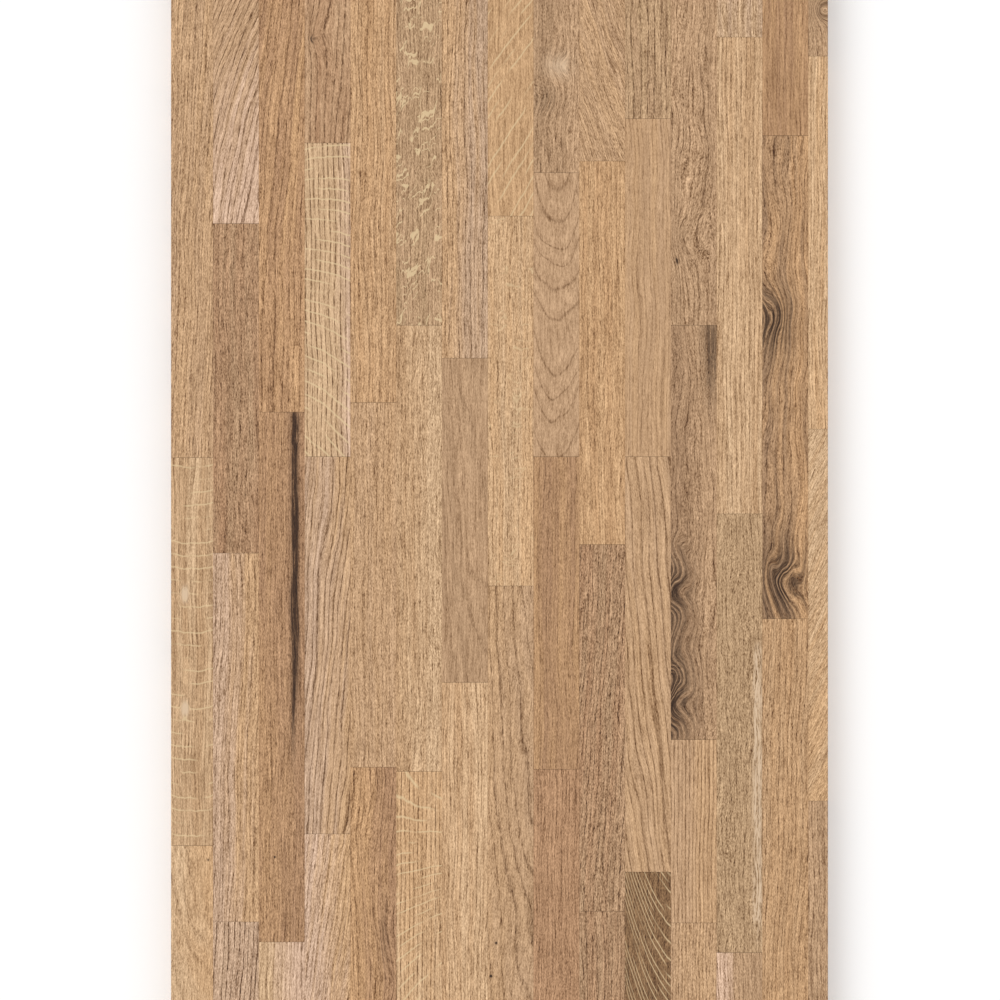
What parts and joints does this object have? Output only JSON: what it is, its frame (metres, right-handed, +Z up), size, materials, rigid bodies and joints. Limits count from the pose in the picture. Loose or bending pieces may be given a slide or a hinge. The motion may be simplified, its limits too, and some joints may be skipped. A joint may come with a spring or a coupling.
{
  "type": "kitchen worktop",
  "caption": "Solid oak kitchen worktop of short staves finger-jointed end to end in rows glued edge to edge, with lightly eased long arrises and square sawn ends.",
  "frame": {"origin": "centre of the underside", "axes": "+X along the worktop and its grain, +Y from the front edge to the back edge, +Z up through the thickness"},
  "size_m": [2, 0.62, 0.038],
  "materials": {
    "oiled_oak": "satin, oiled"
  },
  "bodies": {
    "root": {"stave_row_front": "oiled_oak", "stave_row_02": "oiled_oak", "stave_row_03": "oiled_oak", "stave_row_04": "oiled_oak", "stave_row_05": "oiled_oak", "stave_row_06": "oiled_oak", "stave_row_07": "oiled_oak", "stave_row_08": "oiled_oak", "stave_row_09": "oiled_oak", "stave_row_10": "oiled_oak", "stave_row_11": "oiled_oak", "stave_row_12": "oiled_oak", "stave_row_13": "oiled_oak", "stave_row_14": "oiled_oak", "stave_row_back": "oiled_oak"}
  },
  "joints": []
}
